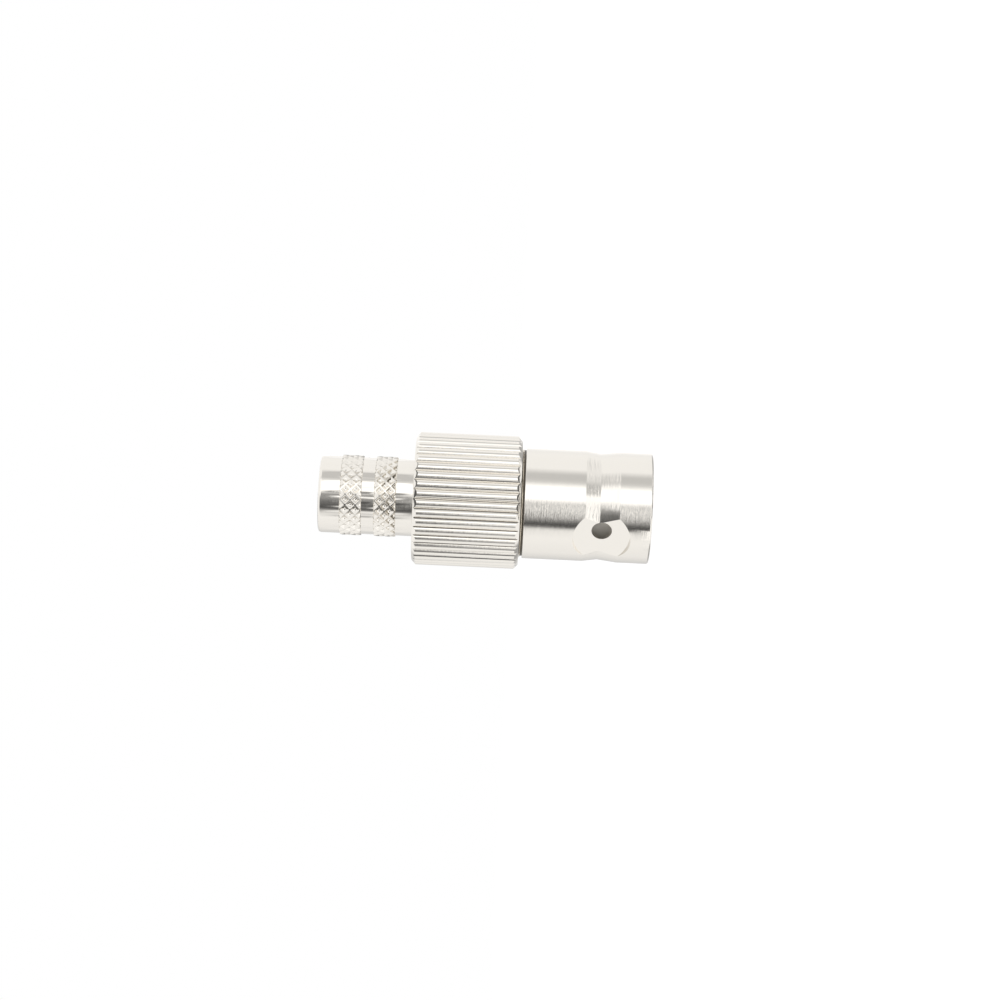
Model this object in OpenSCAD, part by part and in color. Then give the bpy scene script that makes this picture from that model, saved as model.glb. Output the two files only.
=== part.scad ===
// Crimp-type bayonet coaxial plug, 50 or 75 ohm, for 7 mm cable.
// Z = 0 is the front face of the coupling nut, and +Z points towards the cable.

/* [Coupling nut] */
// Wall of the smooth bayonet sleeve
sleeve_wall = 1.1; // [1:0.05:1.3]
// Length of the smooth sleeve
sleeve_len = 14.2; // [13.8:0.1:15.5]
// How far the rib crests of the grip ring stand above the sleeve
ring_step = 1.2; // [1:0.05:1.6]
// Length of the grip ring
ring_len = 11.6; // [11.4:0.05:13.4]
// Number of straight ribs round the grip ring
rib_count = 42; // [36:1:60]
// Depth of the grooves between the ribs
rib_depth = 0.32; // [0.2:0.01:0.4]
// Chamfer at both ends of the grip ring
ring_chamfer = 0.45; // [0.2:0.05:0.6]
// Width of the undercut between the sleeve and the grip ring
relief_w = 0.4; // [0.2:0.05:0.5]
// Depth of the undercut between the sleeve and the grip ring
relief_depth = 0.3; // [0.1:0.05:0.4]
// Chamfer on the outer front edge of the sleeve
front_chamfer = 0.15; // [0.1:0.05:0.3]
// Radial room for the jack's shell between the outer contact and the nut's bore
jack_space = 0.9; // [0.8:0.02:1]
// Lead-in chamfer at the mouth of the bore
mouth_chamfer = 0.3; // [0.1:0.05:0.4]
// Wall of the grip ring under its grooves
ring_wall = 1.03; // [0.8:0.01:1.3]
// Length of the inner lip that holds the nut on the barrel
lip_len = 2.6; // [2:0.1:2.9]

/* [Bayonet] */
// Distance from the front face to the lock holes
lock_z = 5.35; // [5.05:0.05:5.65]
// Diameter of each lock hole, and the width of its cam groove
lock_hole_d = 2.2; // [2.1:0.05:2.3]
// Depth of the cam groove below the nut's bore
cam_depth = 0.58; // [0.55:0.01:0.7]
// Angle from each entry slot to its lock hole
cam_turn = 90; // [80:1:100]
// Distance from the front face to the start of the ramp
cam_start_z = 2; // [1.6:0.1:2.4]
// How far the ramp's peak lies behind the lock hole
cam_rise = 0.5; // [0.3:0.05:0.7]
// Diameter of the flat milled round each lock hole
spotface_d = 6.3; // [5.6:0.1:6.6]
// Depth of that flat below the sleeve's surface
spotface_depth = 0.55; // [0.45:0.01:0.65]
// Angle between the middle of each flat and its lock hole
lock_shift = 9; // [0:1:12]
// Depth of the shallow neck groove that crosses the lock holes
neck_depth = 0.25; // [0.15:0.01:0.3]
// Width of the neck groove's front flank
neck_front_w = 2.1; // [1.8:0.05:2.6]
// Width of the neck groove's rear flank
neck_rear_w = 1.65; // [1.4:0.05:2.2]
// How far behind the lock holes the neck groove is deepest
neck_shift = 0.25; // [0:0.05:0.5]

/* [Plug body] */
// Wall of the barrel that the nut turns on
barrel_wall = 0.875; // [0.8:0.005:0.95]
// Length of the flange
flange_len = 3.2; // [3:0.1:3.4]
// Width of the shoulder that the front insulator stops on
shoulder_w = 0.2; // [0.15:0.01:0.3]
// Depth of the recess that the outer contact is pressed into
contact_seat_len = 2; // [1.5:0.1:2.4]
// Length of the barrel behind the retaining ring
barrel_tail_len = 1.3; // [1:0.1:1.6]
// Depth of the retaining ring's groove in the barrel
ring_groove_depth = 0.4; // [0.3:0.05:0.45]

/* [Contacts and insulators] */
// Distance from the front face of the nut to the outer contact's tip
contact_inset = 2.4; // [2:0.1:2.8]
// Wall of the outer contact
contact_wall = 0.55; // [0.45:0.01:0.6]
// Bore of the outer contact
contact_bore_d = 7; // [6.9:0.05:7.1]
// Free length of the outer contact in front of the gasket
contact_len = 8; // [7.6:0.1:8.4]
// How far the outer contact's pressed-in collar stands above its wall
collar_step = 0.2; // [0.16:0.01:0.25]
// Solid length of the outer contact between its slots and the gasket
slot_root_len = 1; // [0.6:0.1:3]
// Width of the slots in the outer contact
slot_w = 0.5; // [0.3:0.05:0.7]
// Bevel at the tip of the outer contact
contact_bevel = 0.15; // [0.1:0.05:0.2]
// Distance from the outer contact's tip back to the front insulator
insulator_inset = 0.4; // [0.2:0.1:1]
// Diameter of the cavity round the centre pin
cavity_d = 4.85; // [4.75:0.05:5]
// Depth of that cavity
cavity_depth = 5.8; // [5:0.1:6.4]
// Length of the rear insulator
rear_insulator_len = 4.5; // [4:0.1:5]
// Diameter of the centre pin's tip
pin_d = 1.35; // [1.32:0.01:1.37]
// Distance from the outer contact's tip back to the pin's tip
pin_inset = 0.9; // [0.5:0.1:1.2]
// Diameter of the centre pin's shank
shank_d = 1.9; // [1.8:0.05:2.1]
// Length of the insulator's web in front of the shank
shank_web = 1; // [0.6:0.1:1.4]
// Diameter of the centre pin's head
head_d = 2.6; // [2.4:0.1:3]
// Length of the centre pin's head
head_len = 1.5; // [1:0.1:1.8]
// Bore of the pin's cup for the cable's conductor
cup_d = 1.1; // [1:0.05:1.2]
// Depth of the pin's cup
cup_depth = 3.5; // [2.5:0.1:4]

/* [Gasket, washers and springs] */
// Thickness of the gasket
gasket_t = 1; // [0.8:0.05:1.2]
// Thickness of the washer against the flange
front_washer_t = 0.3; // [0.2:0.05:0.4]
// Height of the space that each wave washer fills
wave_h = 0.8; // [0.7:0.05:0.9]
// Thickness of the wave washers' strip
wave_t = 0.2; // [0.15:0.01:0.25]
// Waves round each wave washer
wave_count = 3; // [2:1:4]
// Thickness of the washer against the nut's lip
slip_washer_t = 0.35; // [0.25:0.05:0.45]
// Thickness of the retaining ring
retainer_t = 0.65; // [0.5:0.05:0.8]
// How far the retaining ring reaches past the lip's bore
retainer_grip = 0.5; // [0.3:0.05:0.7]
// Width of the gap in the retaining ring
retainer_gap = 3; // [2:0.1:4]

/* [Crimp stem] */
// How far the hub's rear face lies inside the grip ring
hub_inset = 0.3; // [0.1:0.05:0.6]
// Chamfer on the hub's rear edge
hub_chamfer = 0.3; // [0.1:0.05:0.5]
// Length of the boss that centres the ferrule
boss_len = 1; // [0.6:0.1:1.6]
// Wall of the stem under the braid
stem_wall = 0.45; // [0.35:0.01:0.5]
// How far the stem's open end lies inside the ferrule
stem_inset = 0.5; // [0.1:0.1:1.5]
// Bore that takes the cable's insulation
cable_bore_d = 4.8; // [4.7:0.02:4.9]
// Distance from one grip groove of the stem to the next
grip_pitch = 0.8; // [0.6:0.05:1.2]
// Depth of the grip grooves
grip_depth = 0.12; // [0.08:0.01:0.15]
// Bevel at the open end of the stem
stem_bevel = 0.2; // [0.1:0.05:0.3]

/* [Crimp ferrule] */
// Wall of the ferrule between its knurled bands
ferrule_wall = 0.45; // [0.4:0.01:0.6]
// Radial room for the cable's braid and jacket between stem and ferrule
braid_space = 0.9; // [0.8:0.01:1]
// Plain length of the ferrule between the hub and the second band
seat_plain_len = 2.25; // [1.6:0.02:3]
// Plain length between the two bands
middle_plain_len = 1.46; // [1.2:0.02:2]
// Plain length between the first band and the free end
end_plain_len = 2.4; // [2:0.1:3]
// Chamfer on the ferrule's outer edges
ferrule_chamfer = 0.3; // [0.15:0.05:0.35]
// Diamonds round each knurled band
knurl_count = 24; // [18:1:30]
// Rows of diamonds in each knurled band
knurl_rows = 2; // [2:1:3]
// Distance along the ferrule from one row of diamonds to the next
knurl_pitch = 1.13; // [1:0.01:1.2]
// How far the knurl's ridges stand above the ferrule
knurl_rise = 0.16; // [0.1:0.01:0.2]
// How far the knurl's pits lie below the ferrule's surface
knurl_sink = 0.08; // [0.04:0.01:0.12]
// Share of each diamond's width that its flat floor takes
knurl_floor = 0.5; // [0.3:0.05:0.7]

/* [Fits] */
// Radial clearance of the flange and washers in the nut's bore
flange_gap = 0.1; // [0.06:0.01:0.15]
// Radial clearance of the barrel in the nut's lip
run_gap = 0.07; // [0.04:0.01:0.1]
// Radial clearance of the hub in the nut's recess
hub_gap = 0.15; // [0.1:0.01:0.2]
// Radial clearance of pieces that are pressed together
seat_gap = 0.02; // [0.01:0.01:0.03]
// Radial clearance of the ferrule on its boss
ferrule_gap = 0.05; // [0.03:0.01:0.08]
// End clearance on each side of the nut's lip
lip_gap = 0.05; // [0.03:0.01:0.08]

/* [Hidden] */
$fn = 96;

nickel = [0.85, 0.83, 0.8];
gold = [0.87, 0.7, 0.4];
ptfe = [0.95, 0.95, 0.93];
silicone = [0.62, 0.24, 0.18];
spring_bronze = [0.72, 0.58, 0.4];

// Places along the axis, from the front face back
cut = 1;
contact_z = contact_inset;
gasket_z = contact_z + contact_len;
flange_z = gasket_z + gasket_t;
shoulder_z = flange_z + contact_seat_len;
barrel_z = flange_z + flange_len;
wave_front_z = barrel_z + front_washer_t;
wave_rear_z = wave_front_z + wave_h;
slip_washer_z = wave_rear_z + wave_h;
lip_z = slip_washer_z + slip_washer_t + lip_gap;
recess_z = lip_z + lip_len;
retainer_z = recess_z + lip_gap;
body_end_z = retainer_z + retainer_t + barrel_tail_len;
insulator_z = contact_z + insulator_inset;
cavity_end_z = insulator_z + cavity_depth;
pin_z = contact_z + pin_inset;
rear_insulator_end_z = shoulder_z + rear_insulator_len;
nut_len = sleeve_len + ring_len;
hub_end_z = nut_len - hub_inset;
neck_z = lock_z + neck_shift;
band_w = knurl_rows * knurl_pitch;
band_2_z = hub_end_z + seat_plain_len;
band_1_z = band_2_z + band_w + middle_plain_len;
ferrule_end_z = band_1_z + band_w + end_plain_len;
stem_end_z = ferrule_end_z - stem_inset;

// Diameters that follow from the walls, from the centre out
contact_d = contact_bore_d + 2 * contact_wall;
collar_d = contact_d + 2 * collar_step;
bore_d = contact_d + 2 * jack_space;
sleeve_d = bore_d + 2 * sleeve_wall;
ring_d = sleeve_d + 2 * ring_step;
recess_d = ring_d - 2 * (rib_depth + ring_wall);
cam_r = bore_d / 2 + cam_depth;
body_bore_d = contact_bore_d - 2 * shoulder_w;
barrel_d = body_bore_d + 2 * barrel_wall;
stem_d = cable_bore_d + 2 * stem_wall;
ferrule_bore_d = stem_d + 2 * braid_space;
ferrule_d = ferrule_bore_d + 2 * ferrule_wall;

// Diameters that follow from the fits
flange_d = bore_d - 2 * flange_gap;
lip_d = barrel_d + 2 * run_gap;
hub_d = recess_d - 2 * hub_gap;
boss_d = ferrule_bore_d - 2 * ferrule_gap;
washer_bore_d = barrel_d + 2 * run_gap;
ring_groove_d = barrel_d - 2 * ring_groove_depth;
retainer_bore_d = ring_groove_d + 2 * seat_gap;
retainer_d = lip_d + 2 * retainer_grip;
flat_x = sleeve_d / 2 - spotface_depth;

// Rib crests are arcs that meet their neighbours at the groove's depth
rib_half = 180 / rib_count;
crest_r = ring_d / 2;
groove_r = crest_r - rib_depth;
rib_centre_r = (crest_r * crest_r - groove_r * groove_r)
    / (2 * (crest_r - groove_r * cos(rib_half)));
rib_r = crest_r - rib_centre_r;

// Knurled bands
knurl_step = 360 / knurl_count;
knurl_crest_r = ferrule_d / 2 + knurl_rise;
knurl_pit_r = ferrule_d / 2 - knurl_sink;
band_root_r = (ferrule_d + ferrule_bore_d) / 4;

// A point on a cylinder
function polar(r, a, z) = [r * cos(a), r * sin(a), z];

// A plain tube or washer standing at height z
module tube(d, hole_d, z, len) {
    translate([0, 0, z])
        difference() {
            cylinder(d = d, h = len);
            translate([0, 0, -cut])
                cylinder(d = hole_d, h = len + 2 * cut);
        }
}

// A solid through a row of four-sided sections
module sweep(sections, closed) {
    count = len(sections);
    last = closed ? count - 1 : count - 2;
    sides = [
        for (i = [0 : last], j = [0 : 3])
            let (a = 4 * i + j, b = 4 * i + (j + 1) % 4, up = 4 * ((i + 1) % count))
                each [[a, b, up + j], [b, up + (j + 1) % 4, up + j]]
    ];
    top = 4 * (count - 1);
    caps = closed ? [] : [[2, 1, 0], [3, 2, 0], [top, top + 1, top + 2], [top, top + 2, top + 3]];
    polyhedron(points = [for (s = sections) each s], faces = concat(sides, caps));
}

// Height of the cam groove's middle at angle a from its lock hole
function cam_z(a) = lookup(a, [
    [-cam_turn, cam_start_z],
    [-0.2 * cam_turn, lock_z + cam_rise],
    [-0.1 * cam_turn, lock_z + cam_rise],
    [0, lock_z],
]);

// One bayonet track: entry slot, ramp, peak and lock hole
module bayonet_track() {
    in_r = bore_d / 2 - cut;
    half = lock_hole_d / 2;
    step = cam_turn / 18;
    sweep([
        for (a = [-cam_turn : step : 0.01])
            [
                polar(in_r, a, cam_z(a) - half),
                polar(cam_r, a, cam_z(a) - half),
                polar(cam_r, a, cam_z(a) + half),
                polar(in_r, a, cam_z(a) + half),
            ]
    ], false);
    rotate([0, 0, -cam_turn]) {
        translate([in_r, -half, -cut])
            cube([cam_r - in_r, lock_hole_d, cut + cam_start_z]);
        translate([in_r, 0, cam_start_z])
            rotate([0, 90, 0])
                cylinder(d = lock_hole_d, h = cam_r - in_r);
    }
    translate([in_r, 0, lock_z])
        rotate([0, 90, 0])
            cylinder(d = lock_hole_d, h = sleeve_d / 2);
}

// Outside of the smooth sleeve, with its neck groove and its undercut
module sleeve_blank() {
    r = sleeve_d / 2;
    rotate_extrude()
        polygon([
            [0, 0],
            [r - front_chamfer, 0],
            [r, front_chamfer],
            [r, neck_z - neck_front_w],
            [r - neck_depth, neck_z],
            [r, neck_z + neck_rear_w],
            [r, sleeve_len - relief_w],
            [r - relief_depth, sleeve_len - relief_w],
            [r - relief_depth, sleeve_len + cut],
            [0, sleeve_len + cut],
        ]);
}

// Ribbed grip ring with chamfered ends
module grip_ring() {
    intersection() {
        translate([0, 0, sleeve_len])
            linear_extrude(height = ring_len)
                union() {
                    circle(r = rib_centre_r);
                    for (i = [0 : rib_count - 1])
                        rotate(i * 360 / rib_count)
                            translate([rib_centre_r, 0])
                                circle(r = rib_r, $fn = 32);
                }
        rotate_extrude()
            polygon([
                [0, sleeve_len],
                [crest_r - ring_chamfer, sleeve_len],
                [crest_r + cut, sleeve_len + ring_chamfer + cut],
                [crest_r + cut, nut_len - ring_chamfer - cut],
                [crest_r - ring_chamfer, nut_len],
                [0, nut_len],
            ]);
    }
}

// Bore, lip and rear recess of the nut
module nut_inside() {
    r = bore_d / 2;
    rr = recess_d / 2;
    rotate_extrude()
        polygon([
            [0, -cut],
            [r + mouth_chamfer + cut, -cut],
            [r, mouth_chamfer],
            [r, lip_z],
            [lip_d / 2, lip_z],
            [lip_d / 2, recess_z],
            [rr, recess_z],
            [rr, nut_len - mouth_chamfer],
            [rr + mouth_chamfer + cut, nut_len + cut],
            [0, nut_len + cut],
        ]);
}

module coupling_nut() {
    color(nickel)
        difference() {
            union() {
                sleeve_blank();
                grip_ring();
            }
            nut_inside();
            for (side = [0, 180])
                rotate([0, 0, side]) {
                    translate([flat_x, 0, lock_z])
                        rotate([0, 90, 0])
                            cylinder(d = spotface_d, h = sleeve_d);
                    rotate([0, 0, lock_shift])
                        bayonet_track();
                }
        }
}

module plug_body() {
    bore_r = body_bore_d / 2;
    seat_r = collar_d / 2 + seat_gap;
    barrel_r = barrel_d / 2;
    groove = ring_groove_d / 2;
    color(nickel)
        rotate_extrude()
            polygon([
                [seat_r, flange_z],
                [flange_d / 2, flange_z],
                [flange_d / 2, barrel_z],
                [barrel_r, barrel_z],
                [barrel_r, retainer_z - seat_gap],
                [groove, retainer_z - seat_gap],
                [groove, retainer_z + retainer_t + seat_gap],
                [barrel_r, retainer_z + retainer_t + seat_gap],
                [barrel_r, body_end_z],
                [bore_r, body_end_z],
                [bore_r, shoulder_z],
                [seat_r, shoulder_z],
            ]);
}

module outer_contact() {
    r = contact_d / 2;
    in_r = contact_bore_d / 2;
    color(nickel)
        difference() {
            rotate_extrude()
                polygon([
                    [in_r + contact_bevel, contact_z],
                    [r - contact_bevel, contact_z],
                    [r, contact_z + contact_bevel],
                    [r, gasket_z],
                    [collar_d / 2, gasket_z],
                    [collar_d / 2, shoulder_z],
                    [in_r, shoulder_z],
                    [in_r, contact_z + contact_bevel],
                ]);
            for (turn = [45, 135])
                rotate([0, 0, turn])
                    translate([-contact_d, -slot_w / 2, contact_z - cut])
                        cube([2 * contact_d, slot_w, contact_len - slot_root_len + cut]);
        }
}

module front_insulator() {
    r = contact_bore_d / 2 - seat_gap;
    head_r = head_d / 2 + seat_gap;
    color(ptfe)
        rotate_extrude()
            polygon([
                [cavity_d / 2, insulator_z],
                [r, insulator_z],
                [r, shoulder_z],
                [head_r, shoulder_z],
                [head_r, shoulder_z - head_len],
                [shank_d / 2 + seat_gap, shoulder_z - head_len],
                [shank_d / 2 + seat_gap, cavity_end_z + shank_web],
                [pin_d / 2 + seat_gap, cavity_end_z + shank_web],
                [pin_d / 2 + seat_gap, cavity_end_z],
                [cavity_d / 2, cavity_end_z],
            ]);
}

module rear_insulator() {
    color(ptfe)
        tube(body_bore_d - 2 * seat_gap, shank_d + 2 * seat_gap, shoulder_z, rear_insulator_len);
}

module centre_pin() {
    tip = pin_d / 4;
    cup_r = cup_d / 2;
    color(gold)
        rotate_extrude()
            polygon([
                [0, pin_z],
                [pin_d / 2 - tip, pin_z],
                [pin_d / 2, pin_z + 2 * tip],
                [pin_d / 2, cavity_end_z + shank_web],
                [shank_d / 2, cavity_end_z + shank_web],
                [shank_d / 2, shoulder_z - head_len],
                [head_d / 2, shoulder_z - head_len],
                [head_d / 2, shoulder_z],
                [shank_d / 2, shoulder_z],
                [shank_d / 2, rear_insulator_end_z],
                [cup_r, rear_insulator_end_z],
                [cup_r, rear_insulator_end_z - cup_depth],
                [0, rear_insulator_end_z - cup_depth],
            ]);
}

module gasket() {
    color(silicone)
        tube(flange_d, collar_d + 2 * seat_gap, gasket_z, gasket_t);
}

module front_washer() {
    color(nickel)
        tube(flange_d, washer_bore_d, barrel_z, front_washer_t);
}

// A wave washer between height z and z + wave_h, with its crests at phase
module wave_spring(z, phase) {
    in_r = washer_bore_d / 2;
    out_r = flange_d / 2;
    swing = (wave_h - wave_t) / 2 - seat_gap;
    mid_z = z + wave_h / 2;
    color(spring_bronze)
        sweep([
            for (a = [0 : 7.5 : 359])
                let (
                    low = mid_z - wave_t / 2 + swing * cos(wave_count * a + phase),
                    high = low + wave_t
                )
                    [
                        polar(in_r, a, low),
                        polar(out_r, a, low),
                        polar(out_r, a, high),
                        polar(in_r, a, high),
                    ]
        ], true);
}

module wave_spring_front() {
    wave_spring(wave_front_z, 0);
}

module wave_spring_rear() {
    wave_spring(wave_rear_z, 180);
}

module slip_washer() {
    color(nickel)
        tube(flange_d, washer_bore_d, slip_washer_z, slip_washer_t);
}

module retaining_ring() {
    color(spring_bronze)
        difference() {
            tube(retainer_d, retainer_bore_d, retainer_z, retainer_t);
            translate([0, -retainer_gap / 2, retainer_z - cut])
                cube([retainer_d, retainer_gap, retainer_t + 2 * cut]);
        }
}

module crimp_stem() {
    bore_r = cable_bore_d / 2;
    spigot_r = body_bore_d / 2 - seat_gap;
    hub_r = hub_d / 2;
    stem_r = stem_d / 2;
    grip_z = hub_end_z + boss_len + grip_pitch;
    color(nickel)
        difference() {
            rotate_extrude()
                polygon([
                    [bore_r, rear_insulator_end_z],
                    [spigot_r, rear_insulator_end_z],
                    [spigot_r, body_end_z],
                    [hub_r, body_end_z],
                    [hub_r, hub_end_z - hub_chamfer],
                    [hub_r - hub_chamfer, hub_end_z],
                    [boss_d / 2, hub_end_z],
                    [boss_d / 2, hub_end_z + boss_len],
                    [stem_r, hub_end_z + boss_len],
                    [stem_r, stem_end_z - stem_bevel],
                    [stem_r - stem_bevel, stem_end_z],
                    [bore_r, stem_end_z],
                ]);
            for (z = [grip_z : grip_pitch : stem_end_z - grip_pitch])
                rotate_extrude()
                    polygon([
                        [stem_r - grip_depth, z],
                        [stem_r + grip_depth, z - 2 * grip_depth],
                        [stem_r + grip_depth, z + 2 * grip_depth],
                    ]);
        }
}

// Knurl points: i counts columns round the band and k rows along it
function column(i) = ((i + knurl_count) % knurl_count) * knurl_step;
function crest(i, k, z) = polar(knurl_crest_r, column(i), z + k * knurl_pitch);
function pit(i, k, z) = polar(knurl_pit_r, column(i), z + k * knurl_pitch);
function root(i, k, z) = polar(band_root_r, column(i), z + k * knurl_pitch);

// One diamond with its middle at column i and row k
function diamond(i, k, z) =
    let (
        f = knurl_floor / 2,
        left = crest(i - 0.5, k, z),
        right = crest(i + 0.5, k, z),
        low = crest(i, k - 0.5, z),
        high = crest(i, k + 0.5, z),
        l = pit(i - f, k, z),
        r = pit(i + f, k, z),
        b = pit(i, k - f, z),
        t = pit(i, k + f, z)
    )
    concat(
        k > 0 ? [[left, b, low], [left, l, b], [low, b, right], [right, b, r], [l, r, b]] : [],
        k < knurl_rows ? [[left, high, t], [left, t, l], [high, right, t], [right, r, t], [l, t, r]] : []
    );

// Flat end of a band at row k, between the columns i and i + 1
function band_end(i, k, z) =
    let (
        f = knurl_floor / 2,
        a = root(i, k, z),
        b = root(i + 1, k, z),
        c = crest(i, k, z),
        d = crest(i + 1, k, z),
        l = pit(i + 0.5 - f, k, z),
        r = pit(i + 0.5 + f, k, z)
    )
    [[a, c, l], [a, l, r], [a, r, b], [b, r, d]];

// A ring of raised diamonds round the ferrule, from height z
module knurled_band(z) {
    n = knurl_count - 1;
    m = knurl_rows;
    middles = [for (i = [0 : n], k = [0 : m]) each diamond(i + 0.5, k, z)];
    between = [for (i = [0 : n], k = [0 : m - 1]) each diamond(i, k + 0.5, z)];
    front = [for (i = [0 : n]) each band_end(i, 0, z)];
    back = [for (i = [0 : n], t = band_end(i, m, z)) [t[2], t[1], t[0]]];
    inside = [
        for (i = [0 : n])
            each [
                [root(i, 0, z), root(i + 1, 0, z), root(i, m, z)],
                [root(i + 1, 0, z), root(i + 1, m, z), root(i, m, z)],
            ]
    ];
    triangles = concat(middles, between, front, back, inside);
    polyhedron(
        points = [for (t = triangles) each t],
        faces = [for (i = [0 : len(triangles) - 1]) [3 * i, 3 * i + 1, 3 * i + 2]]
    );
}

module crimp_ferrule() {
    r = ferrule_d / 2;
    in_r = ferrule_bore_d / 2;
    c = ferrule_chamfer;
    color(nickel)
        union() {
            rotate_extrude()
                polygon([
                    [in_r, hub_end_z],
                    [r - c, hub_end_z],
                    [r, hub_end_z + c],
                    [r, band_2_z],
                    [knurl_pit_r - knurl_sink, band_2_z],
                    [knurl_pit_r - knurl_sink, band_2_z + band_w],
                    [r, band_2_z + band_w],
                    [r, band_1_z],
                    [knurl_pit_r - knurl_sink, band_1_z],
                    [knurl_pit_r - knurl_sink, band_1_z + band_w],
                    [r, band_1_z + band_w],
                    [r, ferrule_end_z - c],
                    [r - c, ferrule_end_z],
                    [in_r, ferrule_end_z],
                ]);
            knurled_band(band_1_z);
            knurled_band(band_2_z);
        }
}

coupling_nut();
crimp_ferrule();
plug_body();
outer_contact();
front_insulator();
rear_insulator();
centre_pin();
gasket();
front_washer();
wave_spring_front();
wave_spring_rear();
slip_washer();
retaining_ring();
crimp_stem();
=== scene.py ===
from math import atan2, cos, pi, radians, sin, sqrt

import bpy
from mathutils import Matrix, Vector


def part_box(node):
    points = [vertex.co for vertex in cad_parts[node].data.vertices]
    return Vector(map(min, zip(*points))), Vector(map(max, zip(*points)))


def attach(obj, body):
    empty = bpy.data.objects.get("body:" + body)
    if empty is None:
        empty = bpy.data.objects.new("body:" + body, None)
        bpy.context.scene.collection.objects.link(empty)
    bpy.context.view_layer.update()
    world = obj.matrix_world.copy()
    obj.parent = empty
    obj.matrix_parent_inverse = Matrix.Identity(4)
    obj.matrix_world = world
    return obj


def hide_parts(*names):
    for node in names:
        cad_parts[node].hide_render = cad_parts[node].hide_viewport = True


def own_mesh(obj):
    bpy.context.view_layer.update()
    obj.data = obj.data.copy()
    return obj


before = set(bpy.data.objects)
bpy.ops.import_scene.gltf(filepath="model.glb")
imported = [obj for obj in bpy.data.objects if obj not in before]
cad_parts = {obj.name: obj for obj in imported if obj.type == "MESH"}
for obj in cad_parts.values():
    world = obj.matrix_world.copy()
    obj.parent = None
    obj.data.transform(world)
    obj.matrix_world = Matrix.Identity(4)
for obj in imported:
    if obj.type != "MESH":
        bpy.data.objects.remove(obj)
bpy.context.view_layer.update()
print("solids:", ", ".join(sorted(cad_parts)))

# %% [markdown]
# Turned parts are measured as a lathe hand would: a radius and a height, in
# millimetres. Most of them can be read off the solids' boxes, so these three
# little functions come before anything else.
# %% Read sizes off the solids
MM = 0.001


def radius(node):
    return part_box(node)[1].x / MM


def low(node):
    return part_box(node)[0].z / MM


def high(node):
    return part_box(node)[1].z / MM


for name in sorted(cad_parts):
    print(f"{name}: r {radius(name):.2f}, from {low(name):.2f} to {high(name):.2f} mm")

# %% [markdown]
# A long lens keeps the cylinder's sides parallel, as product pictures do. The
# plug stands upright here, so the camera is laid on its side to show it lying
# across the picture, and tipped a little so that the mating end sits lower.
# %% Camera
FACING_DEG = 37
ROLL_DEG = 2.66
LENS_MM = 100
SENSOR_MM = 36
VIEW_WIDTH_MM = 109.4
AIM_HEIGHT_MM = 16.43
AIM_RAISE_MM = 0.2

facing = Vector((cos(radians(FACING_DEG)), sin(radians(FACING_DEG)), 0))
across = Vector((-facing.y, facing.x, 0))
axis = Vector((0, 0, 1))
roll = radians(ROLL_DEG)
camera_up = across * cos(roll) + axis * sin(roll)
camera_right = camera_up.cross(facing)
aim = axis * AIM_HEIGHT_MM * MM + camera_up * AIM_RAISE_MM * MM
distance = VIEW_WIDTH_MM * MM * LENS_MM / SENSOR_MM

bpy.ops.object.camera_add(location=aim + facing * distance)
camera = bpy.context.object
turn = Matrix((camera_right, camera_up, facing)).transposed()
camera.rotation_euler = turn.to_euler()
camera.data.lens = LENS_MM
camera.data.sensor_width = SENSOR_MM
camera.data.clip_start = 0.01
bpy.context.scene.camera = camera
bpy.context.scene.view_settings.view_transform = "Standard"
print(f"camera {distance:.3f} m away, {FACING_DEG} degrees round")

# %% [markdown]
# Every finish and the studio are built from shader nodes. One function adds a
# node: its settings go in by name and its inputs by socket, either a value or
# another node's output. A second one turns the usual hex colours, which are
# written for the eye, into the linear numbers that light adds up in.
# %% Node and colour helpers
def add_node(tree, kind, inputs=None, **settings):
    node = tree.nodes.new(kind)
    for key, value in settings.items():
        setattr(node, key, value)
    for key, value in (inputs or {}).items():
        if isinstance(value, bpy.types.NodeSocket):
            tree.links.new(value, node.inputs[key])
        else:
            node.inputs[key].default_value = value
    return node


def linear(hex_colour):
    parts = [int(hex_colour[i : i + 2], 16) / 255 for i in (1, 3, 5)]
    return (
        *(c / 12.92 if c <= 0.04045 else ((c + 0.055) / 1.055) ** 2.4 for c in parts),
        1,
    )


def grey(level):
    return (level, level, level, 1)


def set_ramp(node, stops):
    ramp = node.color_ramp
    while len(ramp.elements) < len(stops):
        ramp.elements.new(0.5)
    for element, (place, colour) in zip(ramp.elements, stops):
        element.position = place
        element.color = colour


# %% [markdown]
# Polished metal shows nothing but the room around it, so the room is what
# makes it look like metal. This one is a product photographer's tent, painted
# by direction: one broad soft box, a grey gap above it, plain white walls, and
# one dark flag that gives the cylinders their black line. Up or down the axis
# the tent changes, so it is painted as several rings of brightness, blended by
# how steeply a reflection rises. The camera itself sees plain white.
# %% Studio light
world = bpy.data.worlds.new("photo tent")
bpy.context.scene.world = world
world.use_nodes = True
tree = world.node_tree
tree.nodes.clear()

SOFT_BOX = 1.6
WALL = 1.12
GAP = 0.7
FLAG = 0.12
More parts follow.
